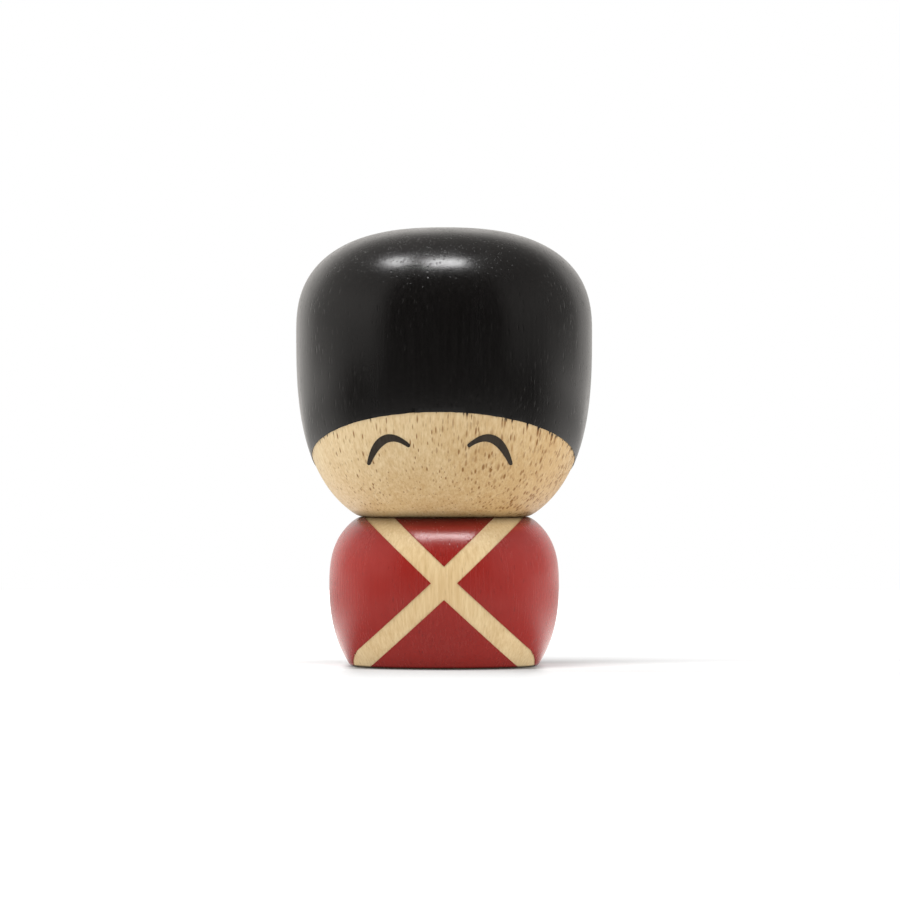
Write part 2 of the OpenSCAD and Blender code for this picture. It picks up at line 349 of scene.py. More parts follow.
def thicken(bm, depth, rim):
    """Gives a skin its thickness inward and rounds its outer rim."""
    bmesh.ops.recalc_face_normals(bm, faces=bm.faces)
    rims = [e for e in bm.edges if e.is_boundary]
    made = bmesh.ops.extrude_face_region(bm, geom=bm.faces[:], use_keep_orig=True)["geom"]
    inner = [v for v in made if isinstance(v, bmesh.types.BMVert)]
    inner_faces = [f for f in made if isinstance(f, bmesh.types.BMFace)]
    bm.normal_update()
    ways = {}
    for face in inner_faces:
        for v in face.verts:
            ways[v] = ways.get(v, Vector()) + face.normal * face.calc_area()
    for v in inner:
        v.co -= ways[v].normalized() * depth
    bmesh.ops.recalc_face_normals(bm, faces=bm.faces)
    if rim:
        bmesh.ops.bevel(bm, geom=rims, offset=rim, offset_type="OFFSET", affect="EDGES",
                        segments=RIM_STEPS, profile=0.5, material=-1, clamp_overlap=True)


def new_piece(context, name, bm, material):
    """Makes a mesh an object of the scene."""
    mesh = bpy.data.meshes.new(name)
    bm.to_mesh(mesh)
    bm.free()
    mesh.materials.append(material)
    piece = bpy.data.objects.new(name, mesh)
    context.scene.collection.objects.link(piece)
    return piece


def place(context, name, bm, material, body, node):
    """Makes a finished mesh a piece that rides on a body and stands for a node."""
    loose = [v for v in bm.verts if not v.link_faces]
    bmesh.ops.delete(bm, geom=loose, context="VERTS")
    piece = new_piece(context, name, bm, material)
    piece.data.shade_smooth()
    piece.data.set_sharp_from_angle(angle=SHARP_ANGLE)
    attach(piece, body)
    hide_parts(node)


# Shader nodes

def feed(socket, value):
    """Links a socket to another one, or sets it."""
    if isinstance(value, bpy.types.NodeSocket):
        socket.id_data.links.new(value, socket)
    else:
        socket.default_value = value


def put(tree, kind, sockets=None, **settings):
    """Adds a node, with its settings and its sockets set or linked."""
    made = tree.nodes.new(kind)
    for name, value in settings.items():
        setattr(made, name, value)
    for name, value in (sockets or {}).items():
        feed(made.inputs[name], value)
    return made


def maths(kind, a, b=0.0):
    tree = next(value.id_data for value in (a, b) if isinstance(value, bpy.types.NodeSocket))
    return put(tree, "ShaderNodeMath", {0: a, 1: b}, operation=kind).outputs[0]


def plus(a, b):
    return maths("ADD", a, b)


def minus(a, b):
    return maths("SUBTRACT", a, b)


def times(a, b):
    return maths("MULTIPLY", a, b)


def apart(a, b):
    """How far one value is from another."""
    return maths("ABSOLUTE", minus(a, b))


def vectors(kind, a, b=(0.0, 0.0, 0.0)):
    return put(a.id_data, "ShaderNodeVectorMath", {0: a, 1: b}, operation=kind).outputs


def own_place(tree):
    """Coordinates on the piece itself."""
    return put(tree, "ShaderNodeTexCoord").outputs["Object"]


def parted(vector):
    return put(vector.id_data, "ShaderNodeSeparateXYZ", {0: vector}).outputs


def ranged(value, low, high, to_low, to_high, smooth=False):
    """A value's run from low to high made another run, and held at both ends."""
    return put(value.id_data, "ShaderNodeMapRange", {0: value, 1: low, 2: high, 3: to_low, 4: to_high},
               clamp=True, interpolation_type="SMOOTHSTEP" if smooth else "LINEAR").outputs[0]


def blended(share, a, b):
    return put(share.id_data, "ShaderNodeMix", {0: share, 6: a, 7: b}, data_type="RGBA",
               blend_type="MIX").outputs[2]


def rgba(value):
    return (value[0], value[1], value[2], 1.0)


def group_tree(name, inputs, outputs):
    """An empty node group with a vector input, number inputs and number outputs."""
    tree = bpy.data.node_groups.new(name, "ShaderNodeTree")
    tree.interface.new_socket("Vector", in_out="INPUT", socket_type="NodeSocketVector")
    for label, value in inputs:
        made = tree.interface.new_socket(label, in_out="INPUT", socket_type="NodeSocketFloat")
        made.default_value = value
    for label in outputs:
        tree.interface.new_socket(label, in_out="OUTPUT", socket_type="NodeSocketFloat")
    return tree, tree.nodes.new("NodeGroupInput").outputs, tree.nodes.new("NodeGroupOutput").inputs


def scaled(vector, x, y, z):
    factors = put(vector.id_data, "ShaderNodeCombineXYZ", {0: x, 1: y, 2: z}).outputs[0]
    return vectors("MULTIPLY", vector, factors)[0]


def clouds(vector, detail, roughness=0.5, scale=1.0):
    sockets = {"Vector": vector, "Scale": scale, "Detail": detail, "Roughness": roughness}
    return put(vector.id_data, "ShaderNodeTexNoise", sockets).outputs


def cells(vector):
    return put(vector.id_data, "ShaderNodeTexVoronoi", {"Vector": vector, "Scale": 1.0, "Randomness": 1.0},
               voronoi_dimensions="3D", feature="F1").outputs


def vessel_group():
    """Open vessels of a coarse hardwood: streaks where the grain runs along a surface, dots across it."""
    tree, given, result = group_tree(
        "wood_vessels",
        (("Spacing", 0.00060), ("Stretch", 7.0), ("Radius", 0.57), ("Crowding", 0.35)),
        ("Vessels", "Fine"))
    vector = given["Vector"]
    sway = clouds(scaled(vector, 70.0, 70.0, 45.0), 1.0)["Color"]
    swing = vectors("SUBTRACT", sway, (0.5, 0.5, 0.5))[0]
    bent = vectors("ADD", scaled(swing, 0.0011, 0.0011, 0.0), vector)[0]
    across = maths("DIVIDE", 1.0, given["Spacing"])
    along = maths("DIVIDE", across, given["Stretch"])
    open_cells = cells(scaled(bent, across, across, along))
    chance = put(tree, "ShaderNodeSeparateColor", {0: open_cells["Color"]}).outputs
    patch = clouds(scaled(vector, 95.0, 95.0, 22.0), 1.0)[0]
    crowding = given["Crowding"]
    thick = ranged(patch, 0.32, 0.68, minus(1.0, crowding), plus(1.0, times(crowding, 0.35)))
    bore = times(given["Radius"], ranged(chance[0], 0.0, 1.0, 0.35, 1.0))
    near = maths("DIVIDE", open_cells["Distance"], times(bore, thick))
    mask = ranged(near, 0.35, 1.0, 1.0, 0.0, smooth=True)
    feed(result["Vessels"], times(mask, ranged(chance[1], 0.0, 1.0, 0.30, 1.0)))
    close = times(across, 2.1)
    dust = cells(scaled(bent, close, close, times(along, 2.4)))
    feed(result["Fine"], ranged(dust["Distance"], 0.14, 0.38, 1.0, 0.0, smooth=True))
    return tree


def fibre_group():
    """Fine fibres and broad bands that run along the grain."""
    tree, given, result = group_tree("wood_fibres", (("Fineness", 2300.0),), ("Fibres", "Bands"))
    vector, fine = given["Vector"], given["Fineness"]
    lines = clouds(scaled(vector, fine, fine, times(fine, 0.05)), 3.0, 0.6)[0]
    feed(result["Fibres"], ranged(lines, 0.28, 0.72, 0.0, 1.0))
    bands = clouds(scaled(vector, 240.0, 240.0, 40.0), 2.0)[0]
    feed(result["Bands"], ranged(bands, 0.30, 0.70, 0.0, 1.0))
    return tree


def painted_shade_group():
    """Painted shade in the groove at the neck and under the edge of the foot."""
    tree, given, result = group_tree(
        "edge_painted_shade", (("Seat", 0.0272), ("Reach", 0.0016), ("Depth", 0.6)), ("PaintedShade",))
    height = parted(given["Vector"])[2]
    # Painted shade, deepest at the neck seat and under the foot's edge
    groove = ranged(apart(height, given["Seat"]), 0.0002, given["Reach"], given["Depth"], 0.0)
    foot = ranged(height, 0.0002, 0.0005, 0.9, 0.0)
    feed(result["PaintedShade"], maths("MAXIMUM", groove, foot))
    return tree


def shared_group(name, maker):
    """A node group that more than one finish uses, built once."""
    groups = bpy.data.node_groups
    return groups[name] if name in groups else maker()


def finish(name):
    """A new material with a plain Principled shader."""
    material = bpy.data.materials.new(name)
    material.use_nodes = True
    tree = material.node_tree
    tree.nodes.clear()
    shader = put(tree, "ShaderNodeBsdfPrincipled")
    put(tree, "ShaderNodeOutputMaterial", {"Surface": shader.outputs[0]})
    return material, tree, shader


def dress(shader, base, roughness, normal, ior):
    for name, value in (("Base Color", base), ("Roughness", roughness), ("Normal", normal), ("IOR", ior)):
        feed(shader.inputs[name], value)


def put_out(surface):
    """Sends a shader to the material's output in place of the one there."""
    out = next(n for n in surface.id_data.nodes if n.bl_idname == "ShaderNodeOutputMaterial")
    feed(out.inputs["Surface"], surface.outputs[0])


def grain(tree, offset, **values):
    """The vessel and fibre groups on a piece's own coordinates, moved to their own place in the plank."""
    moved = put(tree, "ShaderNodeMapping", {"Vector": own_place(tree), "Location": offset}).outputs[0]
    pores, lines = (
        put(tree, "ShaderNodeGroup", {"Vector": moved}, node_tree=shared_group(name, maker))
        for name, maker in (("wood_vessels", vessel_group), ("wood_fibres", fibre_group)))
    for label, value in values.items():
        feed((pores if label in pores.inputs else lines).inputs[label], value)
    return pores.outputs["Vessels"], pores.outputs["Fine"], lines.outputs["Fibres"], lines.outputs["Bands"]


def with_painted_shade(base, seat, reach, depth, dark):
    """A base colour darkened by painted shade in the groove and under the foot."""
    tree = base.id_data
    sockets = {"Vector": own_place(tree), "Seat": seat, "Reach": reach, "Depth": depth}
    shade_node = put(tree, "ShaderNodeGroup", sockets, node_tree=shared_group("edge_painted_shade", painted_shade_group))
    return blended(shade_node.outputs["PaintedShade"], base, rgba(dark))


def relief(height, strength, depth):
    sockets = {"Height": height, "Strength": strength, "Distance": depth}
    return put(height.id_data, "ShaderNodeBump", sockets).outputs[0]


def bare_wood(name, context, offset, depth, shade, belly, turn, ends, drift, radius, stretch):
    """Waxed pale hardwood, with vessels as dark as asked, whose tone shifts with the distance from the
    widest ring by the share ends gives: darker on the head where turning cuts the grain, lighter on the body
    toward its ends as painted light.
    """
    colours, sizes = context.scene.guardsman_colours, context.scene.guardsman_turning
    material, tree, shader = finish(name)
    across, _, height = parted(own_place(tree))
    vessels, fine, fibres, bands = grain(
        tree, offset, Radius=ranged(across, -0.004, 0.017, *radius), Stretch=stretch)
    tone = plus(times(fibres, 0.62), times(bands, 0.20))
    tone = plus(tone, ranged(apart(height, belly), *turn, 0.0, ends))
    tone = plus(tone, ranged(across, -0.022, 0.020, *drift))
    pale, warm = (rgba([a * b for a, b in zip(shade, tint)])
                  for tint in (colours.wood_pale, colours.wood_warm))
    base = blended(ranged(tone, 0.05, 1.05, 0.0, 1.0), pale, warm)
    base = blended(times(fine, 0.22 * depth), base, rgba(colours.vessel))
    base = blended(times(vessels, depth), base, rgba(colours.vessel))
    # Painted shade: the wood is darker in the neck groove and under the foot
    base = with_painted_shade(base, sizes.body_height, 0.0014, 0.45, WOOD_PAINTED_SHADE)
    sheen = ranged(plus(fibres, vessels), 0.0, 1.6, 0.36, 0.52)
    pits = minus(times(fibres, 0.25), vessels)
    dress(shader, base, sheen, relief(pits, 0.6, 0.00006), WOOD_IOR)
    return material, tree, shader, base, vessels


def body_wood(context):
    # ends=-0.05 makes the body's wood a little lighter toward the neck and the foot: painted light on the
    # belts
    return bare_wood(
        "body_wood", context, offset=(0.053, 0.021, 0.0), depth=0.38, shade=(1.035, 1.005, 0.95),
        belly=context.scene.guardsman_turning.body_belly, turn=(0.0035, 0.011), ends=-0.05,
        drift=(0.0, 0.0), radius=(0.32, 0.32), stretch=7.0)[0]


def head_wood(context):
    """The head's wood, where the dip has crept a little way down the vessels."""
    sizes = context.scene.guardsman_turning
    material, tree, shader, base, vessels = bare_wood(
        "head_wood", context, offset=(0.0, 0.0, 0.0), depth=0.95, shade=(1.0, 1.0, 1.0),
        belly=sizes.body_height + sizes.head_belly, turn=(0.0117, 0.0288), ends=0.42, drift=(-0.24, 0.30),
        radius=(0.44, 0.78), stretch=9.0)
    front, upward = dip_plane(context)
    above = vectors("DOT_PRODUCT", own_place(tree), upward)["Value"]
    level = front.dot(upward)
    reached = ranged(above, level - 0.0006, level - 0.0001, 0.0, 1.0)
    creep = times(reached, ranged(vessels, 0.15, 0.5, 0.0, 0.9))
    feed(shader.inputs["Base Color"], blended(creep, base, rgba(context.scene.guardsman_colours.black)))
    return material


def lacquer_pits(vessels, fine, fibres, dust, lines):
    """Height of a lacquer film that sinks into the vessels and rides over the fibres."""
    return minus(times(fibres, lines), plus(vessels, times(fine, dust)))


def black_lacquer(colours):
    material, tree, shader = finish("cap_black")
    vessels, fine, fibres, bands = grain(tree, (0.31, 0.17, 0.05), Radius=0.40, Stretch=4.0, Crowding=0.2)
    lifted = rgba([1.6 * c for c in colours.black])
    base = blended(ranged(fibres, 0.15, 0.95, 0.0, 0.8), rgba(colours.black), lifted)
    sheen = ranged(plus(bands, fibres), 0.3, 1.7, 0.19, 0.28)
    height = parted(own_place(tree))[2]
    pits = times(lacquer_pits(vessels, fine, fibres, 0.08, 0.06), ranged(height, 0.060, 0.073, 0.5, 0.58))
    dress(shader, base, sheen, relief(pits, 0.8, 0.00012), LACQUER_IOR)
    return material


def red_lacquer(colours):
    material, tree, shader = finish("tunic_red")
    vessels, fine, fibres, bands = grain(tree, (0.12, 0.41, 0.02), Radius=0.36, Stretch=4.0, Crowding=0.3)
    worn = rgba([a * b for a, b in zip(colours.red, (1.10, 1.35, 1.35))])
    base = blended(ranged(fibres, 0.1, 0.9, 0.0, 0.7), rgba(colours.red), worn)
    sunk = plus(times(vessels, 0.36), times(fine, 0.08))
    base = blended(sunk, base, rgba(colours.red_deep))
    # Painted shade: the red is darker in the neck groove and under the foot
    base = with_painted_shade(base, BODY_HIGH.z, 0.0019, 0.75, RED_PAINTED_SHADE)
    sheen = ranged(plus(bands, fibres), 0.3, 1.7, 0.21, 0.30)
    pits = lacquer_pits(vessels, fine, fibres, 0.22, 0.07)
    dress(shader, base, sheen, relief(pits, 0.40, 0.00008), LACQUER_IOR)
    return material


def eye_ink(colours):
    material, tree, shader = finish("eye_print")
    vessels, _, fibres, bands = grain(tree, (0.0, 0.0, 0.0))
    thin = ranged(plus(fibres, times(bands, 0.5)), 0.3, 1.4, 0.0, 0.8)
    base = blended(thin, rgba(colours.ink), rgba(colours.ink_thin))
    sheen = ranged(fibres, 0.0, 1.0, 0.42, 0.55)
    dress(shader, base, sheen, relief(minus(fibres, vessels), 0.3, 0.00003), INK_IOR)
    return material


def peg_wood(colours):
    material, tree, shader = finish("peg_close_wood")
    vessels, _, fibres, bands = grain(tree, (0.7, 0.2, 0.1), Radius=0.14, Fineness=4200.0)
    warm = rgba([0.8 * c for c in colours.peg])
    base = blended(times(plus(fibres, bands), 0.5), rgba(colours.peg), warm)
    base = blended(times(vessels, 0.5), base, rgba(colours.vessel))
    sheen = ranged(fibres, 0.0, 1.0, 0.5, 0.62)
    dress(shader, base, sheen, relief(minus(fibres, vessels), 0.35, 0.00003), PEG_IOR)
    return material


def made_once(name, maker):
    return bpy.data.materials[name] if name in bpy.data.materials else maker()


# Pieces

def dip_plane(context):
    """A point on the dip line at the face, and the way up out of the dip."""
    sizes, livery = context.scene.guardsman_turning, context.scene.guardsman_livery
    dip_z = sizes.body_height + livery.cap_front
    turn = Matrix.Rotation(sizes.face_turn, 3, "Z")
    front = turn @ Vector((0.0, -head_radius(sizes, 0.0, dip_z), dip_z))
    return front, turn @ Vector((0.0, math.sin(livery.cap_tilt), math.cos(livery.cap_tilt)))


class GUARDSMAN_OT_body_block(bpy.types.Operator):
    """Turn and drill the body block"""
    bl_idname = "guardsman.body_block"
    bl_label = "Body Block"

    def execute(self, context):
        sizes = context.scene.guardsman_turning
        flanks = body_side(sizes, 0.0)
        bore = socket(sizes, sizes.glue_gap, sizes.body_socket, False)
        outline = [(0.0, 0.0)] + eased(*foot_corner(sizes, flanks)) + flanks[1:]
        outline += eased(*neck_corner(sizes, flanks))[1:]
        outline += [(r, sizes.body_height - z) for r, z in reversed(bore)]
        wood = made_once("body_wood", lambda: body_wood(context))
        place(context, "body_wood", turned(outline), wood, "body", "body_block")
        return {"FINISHED"}


class GUARDSMAN_OT_neck_peg(bpy.types.Operator):
    """Give the neck peg its close wood"""
    bl_idname = "guardsman.neck_peg"
    bl_label = "Neck Peg"

    def execute(self, context):
        colours = context.scene.guardsman_colours
        peg = frame["nodes"]["neck_peg"]
        wood = made_once("peg_close_wood", lambda: peg_wood(colours))
        peg.data.materials.clear()
        peg.data.materials.append(wood)
        return {"FINISHED"}


class GUARDSMAN_OT_head_block(bpy.types.Operator):
    """Turn and drill the head block"""
    bl_idname = "guardsman.head_block"
    bl_label = "Head Block"

    def execute(self, context):
        sizes = context.scene.guardsman_turning
        neck, seat = neck_radius(sizes), sizes.body_height + sizes.seat_gap
        flanks = head_side(sizes, 0.0)
        bore = [(r, seat + z) for r, z in socket(sizes, sizes.run_gap, sizes.head_socket, True)]
        outline = bore + eased((neck - sizes.neck_under, seat), (neck, seat), flanks[0]) + flanks[1:]
        wood = made_once("head_wood", lambda: head_wood(context))
        place(context, "head_wood", turned(outline), wood, "head", "head_block")
        return {"FINISHED"}


class GUARDSMAN_OT_cap_coat(bpy.types.Operator):
    """Dip the head in black lacquer down to a tilted line"""
    bl_idname = "guardsman.cap_coat"
    bl_label = "Cap Coat"

    def execute(self, context):
        sizes, livery = context.scene.guardsman_turning, context.scene.guardsman_livery
        colours = context.scene.guardsman_colours
        grow = livery.gap + livery.coat
        bm = turned(head_side(sizes, grow))
        front, upward = dip_plane(context)
        keep_side(bm, front, -upward)
        for v in {v for e in bm.edges if e.is_boundary for v in e.verts}:
            drift = sum(share * noise.noise(v.co * pitch) for pitch, share in DIP_WAVES)
            v.co.z += livery.cap_wander * drift
            flat = v.co.xy.normalized() * head_radius(sizes, grow, v.co.z)
            v.co.x, v.co.y = flat
        thicken(bm, livery.coat, livery.rim)
        black = made_once("cap_black", lambda: black_lacquer(colours))
        place(context, "cap_lacquer", bm, black, "head", "cap_coat")
        return {"FINISHED"}


def belt_lines(sizes, livery):
    """Slopes, heights and corners of the patches between the belts."""
    cross = livery.cross_share * sizes.body_height
    upper, lower = cross + livery.cross_ease, cross - livery.cross_ease
    chest = math.atan2(sizes.body_height - upper, livery.belt_neck)
    skirt = math.atan2(lower, livery.belt_table)
    upper_half, lower_half = (livery.belt_width / math.cos(a) / 2 for a in (chest, skirt))
    side_x = (lower + lower_half - upper + upper_half) / (math.tan(chest) + math.tan(skirt))
    return SimpleNamespace(
        chest=chest, skirt=skirt, chest_z=upper + upper_half, skirt_z=lower - lower_half, side_x=side_x,
        side_z=upper - upper_half + side_x * math.tan(chest))


def eased_skin(start, corner, end, t, grow):
    """One point of a rounded corner, grown outward for a finish."""
    way = Vector([(1 - t) * (b - a) + t * (c - b) for a, b, c in zip(start, corner, end)]).normalized()
    r, z = corner_point(start, corner, end, t)
    return (r + grow * way[1], z - grow * way[0])


def tunic_skin(context):
    """The body's side as the spray covers it, turned in over the broken edges."""
    sizes, livery = context.scene.guardsman_turning, context.scene.guardsman_livery
    grow = livery.gap + livery.coat
    bare = body_side(sizes, 0.0)
    under = [eased_skin(*foot_corner(sizes, bare), t, grow) for t in FOOT_SPRAY]
    over = [eased_skin(*neck_corner(sizes, bare), t, grow) for t in NECK_SPRAY]
    return turned(under + body_side(sizes, grow) + over)


def hang_patch(context, name, bm, node):
    livery, colours = context.scene.guardsman_livery, context.scene.guardsman_colours
    thicken(bm, livery.coat, livery.rim)
    red = made_once("tunic_red", lambda: red_lacquer(colours))
    place(context, name, bm, red, "body", node)


def hang_wedges(context, part, height, slope, upward):
    """Sprays the patches above or below the crossing, front and back."""
    for name, face in (("front", -1), ("back", 1)):
        bm = tunic_skin(context)
        keep_side(bm, (0, 0, 0), (0, -face, 0))
        for end in (-1, 1):
            keep_side(bm, (0, 0, height), (end * math.sin(slope), 0, -upward * math.cos(slope)))
        hang_patch(context, part + "_lacquer_" + name, bm, part + "_" + name)


class GUARDSMAN_OT_chest_patches(bpy.types.Operator):
    """Spray the chest patches above the crossed belts, front and back"""
    bl_idname = "guardsman.chest_patches"
    bl_label = "Chest Patches"

    def execute(self, context):
        lines = belt_lines(context.scene.guardsman_turning, context.scene.guardsman_livery)
        hang_wedges(context, "chest", lines.chest_z, lines.chest, 1)
        return {"FINISHED"}


class GUARDSMAN_OT_skirt_patches(bpy.types.Operator):
    """Spray the skirt patches below the crossed belts, front and back"""
    bl_idname = "guardsman.skirt_patches"
    bl_label = "Skirt Patches"

    def execute(self, context):
        lines = belt_lines(context.scene.guardsman_turning, context.scene.guardsman_livery)
        hang_wedges(context, "skirt", lines.skirt_z, lines.skirt, -1)
        return {"FINISHED"}


class GUARDSMAN_OT_side_patches(bpy.types.Operator):
    """Spray the side patches between the belts, left and right"""
    bl_idname = "guardsman.side_patches"
    bl_label = "Side Patches"

    def execute(self, context):
        sizes, livery = context.scene.guardsman_turning, context.scene.guardsman_livery
        lines = belt_lines(sizes, livery)
        chest, skirt, side_x, side_z = lines.chest, lines.skirt, lines.side_x, lines.side_z
        bend_z = side_z - (livery.belt_side - side_x) * math.tan(skirt)
        start = (livery.belt_side - livery.belt_bend * math.cos(skirt),
                 bend_z + livery.belt_bend * math.sin(skirt))
        curve = eased(start, (livery.belt_side, bend_z), (livery.belt_side, bend_z - livery.belt_bend))
        for name, end in (("left", 1), ("right", -1)):
            bm = tunic_skin(context)
            keep_side(bm, (end * side_x, 0, side_z), (-end * math.sin(chest), 0, math.cos(chest)))
            keep_side(bm, (end * side_x, 0, 0), (-end, 0, 0))
            score(bm, (end * side_x, 0, side_z), (end * math.sin(skirt), 0, math.cos(skirt)),
                  lambda c: c.z > start[1] - BEND_ROOM)
            for (x0, z0), (x1, z1) in zip(curve, curve[1:]):
                score(bm, (end * x0, 0, z0), (end * (z1 - z0), 0, -(x1 - x0)),
                      lambda c: c.z < start[1] + BEND_ROOM and end * c.x > start[0] - BEND_SIDE)

            def bare(c):
                x = end * c.x
                if c.z >= start[1]:
                    return c.z < side_z - (x - side_x) * math.tan(skirt)
                for (x0, z0), (x1, z1) in zip(curve, curve[1:]):
                    if z1 <= c.z <= z0:
                        return x < x0 + (x1 - x0) * (z0 - c.z) / max(z0 - z1, 1e-9)
                return x < livery.belt_side

            dropped = [f for f in bm.faces if bare(f.calc_center_median())]
            bmesh.ops.delete(bm, geom=dropped, context="FACES")
            hang_patch(context, "side_lacquer_" + name, bm, "tunic_" + name)
        return {"FINISHED"}


def eye_stations(livery):
    """Middle, direction and half width of an eye's stroke, from its inner tip to its outer tip."""
    inner = Vector((livery.eye_in_x, livery.eye_in_z))
    outer = Vector((livery.eye_out_x, livery.eye_out_z))
    peak = Vector((livery.eye_peak_x, livery.eye_peak_z))
    stations = []
    for i in range(EYE_LONG + 1):
        t = i / EYE_LONG
        middle = (1 - t) ** 2 * inner + 2 * t * (1 - t) * peak + t ** 2 * outer
        way = ((1 - t) * (peak - inner) + t * (outer - peak)).normalized()
        swell = math.sin(math.pi * t ** livery.eye_skew)
        full = livery.eye_tip + (livery.eye_stroke - livery.eye_tip) * swell
        stations.append((middle, way, full / 2))
    tips = []
    for (middle, way, half), end in ((stations[0], -1), (stations[-1], 1)):
        steps = [EYE_SWEEP * i / EYE_ROUND for i in range(1, EYE_ROUND + 1)]
        tips.append([(middle + end * half * math.sin(a) * way, way, half * math.cos(a)) for a in steps])
    return tips[0][::-1] + stations + tips[1]


class GUARDSMAN_OT_eyes(bpy.types.Operator):
    """Print the two bowed arches of the eyes on the face"""
    bl_idname = "guardsman.eyes"
    bl_label = "Eyes"

    def execute(self, context):
        sizes, livery = context.scene.guardsman_turning, context.scene.guardsman_livery
        colours = context.scene.guardsman_colours
        ink = made_once("eye_print", lambda: eye_ink(colours))
        grow = livery.gap + livery.ink
        stations = eye_stations(livery)
        for name, end in (("left", 1), ("right", -1)):
            bm = bmesh.new()
            row = [bm.verts.new() for i in range(EYE_ACROSS + 1)]
            edges = [bm.edges.new(pair) for pair in zip(row, row[1:])]
            for place_in, (middle, way, half) in enumerate(stations):
                normal = Vector((-way.y, way.x))
                if place_in:
                    made = bmesh.ops.extrude_edge_only(bm, edges=edges)["geom"]
                    fresh = [v for v in made if isinstance(v, bmesh.types.BMVert)]
                    row = sorted(fresh, key=lambda v: v.co.x * before.x + v.co.z * before.y)
                    edges = [bm.edges.get(pair) for pair in zip(row, row[1:])]
                for i, v in enumerate(row):
                    spot = middle + normal * half * (2 * i / EYE_ACROSS - 1)
                    v.co = (spot.x, 0.0, spot.y)
                before = normal
            for v in bm.verts:
                v.co.x *= end
                v.co.z += sizes.body_height
                v.co.y = -math.sqrt(head_radius(sizes, grow, v.co.z) ** 2 - v.co.x ** 2)
            bmesh.ops.transform(bm, matrix=Matrix.Rotation(sizes.face_turn, 4, "Z"), verts=bm.verts)
            bmesh.ops.recalc_face_normals(bm, faces=bm.faces)
            if sum(f.normal.y * f.calc_area() for f in bm.faces) > 0:
                bmesh.ops.reverse_faces(bm, faces=bm.faces)
            thicken(bm, livery.ink, 0.0)
            place(context, "eye_print_" + name, bm, ink, "head", "eye_" + name)
        return {"FINISHED"}


# Stage

def area_lamp(context, name, spot, aim, width, depth, radiance, glossy, diffuse, pieces):
    """A soft panel lamp of a given radiance, aimed at a point, that lights all pieces or only some."""
    data = bpy.data.lights.new(name, "AREA")
    data.shape, data.size, data.size_y = "RECTANGLE", width, depth
    data.energy = radiance * math.pi * width * depth
    lamp = bpy.data.objects.new(name, data)
    lamp.location = spot
    lamp.rotation_euler = (Vector(aim) - Vector(spot)).to_track_quat("-Z", "Y").to_euler()
    lamp.visible_glossy, lamp.visible_diffuse = glossy, diffuse
    context.scene.collection.objects.link(lamp)
    if pieces:
        lit = bpy.data.collections.new(name)
        for piece in context.scene.objects:
            if piece.name in pieces:
                lit.objects.link(piece)
        lamp.light_linking.receiver_collection = lit


def seen_rays(tree):
    """1 for the rays that show the background itself, straight or in a reflection."""
    path = put(tree, "ShaderNodeLightPath").outputs
    return maths("MAXIMUM", path["Is Camera Ray"],
                 maths("MAXIMUM", path["Is Glossy Ray"], path["Is Transmission Ray"]))


def stage_piece(context, name, bm, material):
    piece = new_piece(context, name, bm, material)
    return piece


def floor_shadow(x, y):
    """Painted light and painted shadow that the floor shows of its own near the foot: ahead of it, and
    beside and behind it.
    """
    ahead = ranged(y, -0.066, -0.029, 0.25, 0.02)
    beside = plus(ranged(maths("ABSOLUTE", y), 0.004, 0.030, 0.55, 0.28, smooth=True),
                  ranged(y, 0.030, 0.060, 0.0, 0.09))
    # Painted light behind the foot on the left
    clear = times(ranged(x, -0.0175, -0.0150, 0.09, 0.0), ranged(y, 0.014, 0.030, 0.0, 1.0, smooth=True))
    # Painted shadow beside the foot on the right
    contact = times(ranged(x, 0.0165, 0.028, 0.16, 0.0),
                    ranged(apart(y, 0.010), 0.008, 0.020, 1.0, 0.0, smooth=True))
    contact = times(contact, ranged(x, 0.0, 0.005, 0.0, 1.0))
    beside = minus(plus(beside, clear), contact)
    past = maths("MAXIMUM", ranged(y, -0.13, -0.075, 1.0, 0.0, smooth=True),
                 ranged(y, 0.0, 0.025, 0.0, 1.0, smooth=True))
    inner, outer = (ranged(y, -0.13, -0.02, *run) for run in ((0.004, 0.0155), (0.030, 0.0190)))
    aside = ranged(maths("ABSOLUTE", x), inner, outer, 0.0, 1.0, smooth=True)
    return ranged(maths("MAXIMUM", aside, past), 0.0, 1.0, ahead, beside)


def floor_paper(colours):
    """Pale paper that glows white past the object's painted shadow, and gives off painted bounce light round
    the foot.
    """
    material, tree, shader = finish("floor_paper")
    spot = own_place(tree)
    x, y, _ = parted(spot)
    away = vectors("LENGTH", spot)["Value"]
    paper = blended(ranged(clouds(spot, 2.0, scale=900.0)[0], 0.3, 0.7, 0.0, 1.0), rgba(colours.floor),
                    rgba([1.05 * c for c in colours.floor]))
    # Painted contact shadow: the floor's colour is darkened just in front of the foot
    painted_contact_shadow = times(ranged(away, 0.0175, 0.0235, 0.8, 0.0, smooth=True), ranged(y, -0.012, -0.006, 1.0, 0.0))
    paper = blended(painted_contact_shadow, paper, rgba([0.1 * c for c in colours.floor]))
    feed(shader.inputs["Base Color"], paper)
    shader.inputs["Roughness"].default_value = 0.9
    shader.inputs["Specular IOR Level"].default_value = 0.0
    # Painted light that whitens the floor for the camera and in reflections, past its painted shadow
    shown = plus(floor_shadow(x, y), ranged(away, 0.09, 0.40, 0.0, 0.62))
    # Painted bounce light that the floor gives off to matt surfaces, stronger to the sides and round the
    # foot
    sides = ranged(maths("ABSOLUTE", x), 0.02, 0.07, 0.0, 0.5)
    round_foot = plus(ranged(away, 0.025, 0.045, 0.60, 0.28), ranged(away, 0.045, 0.15, 0.0, 0.32))
    bounce = put(tree, "ShaderNodeLightPath").outputs["Is Diffuse Ray"]
    lift = plus(times(shown, seen_rays(tree)), times(bounce, plus(sides, round_foot)))
    glow = put(tree, "ShaderNodeEmission", {"Color": (1, 1, 1, 1), "Strength": lift})
    put_out(put(tree, "ShaderNodeAddShader", {0: shader.outputs[0], 1: glow.outputs[0]}))
    return material


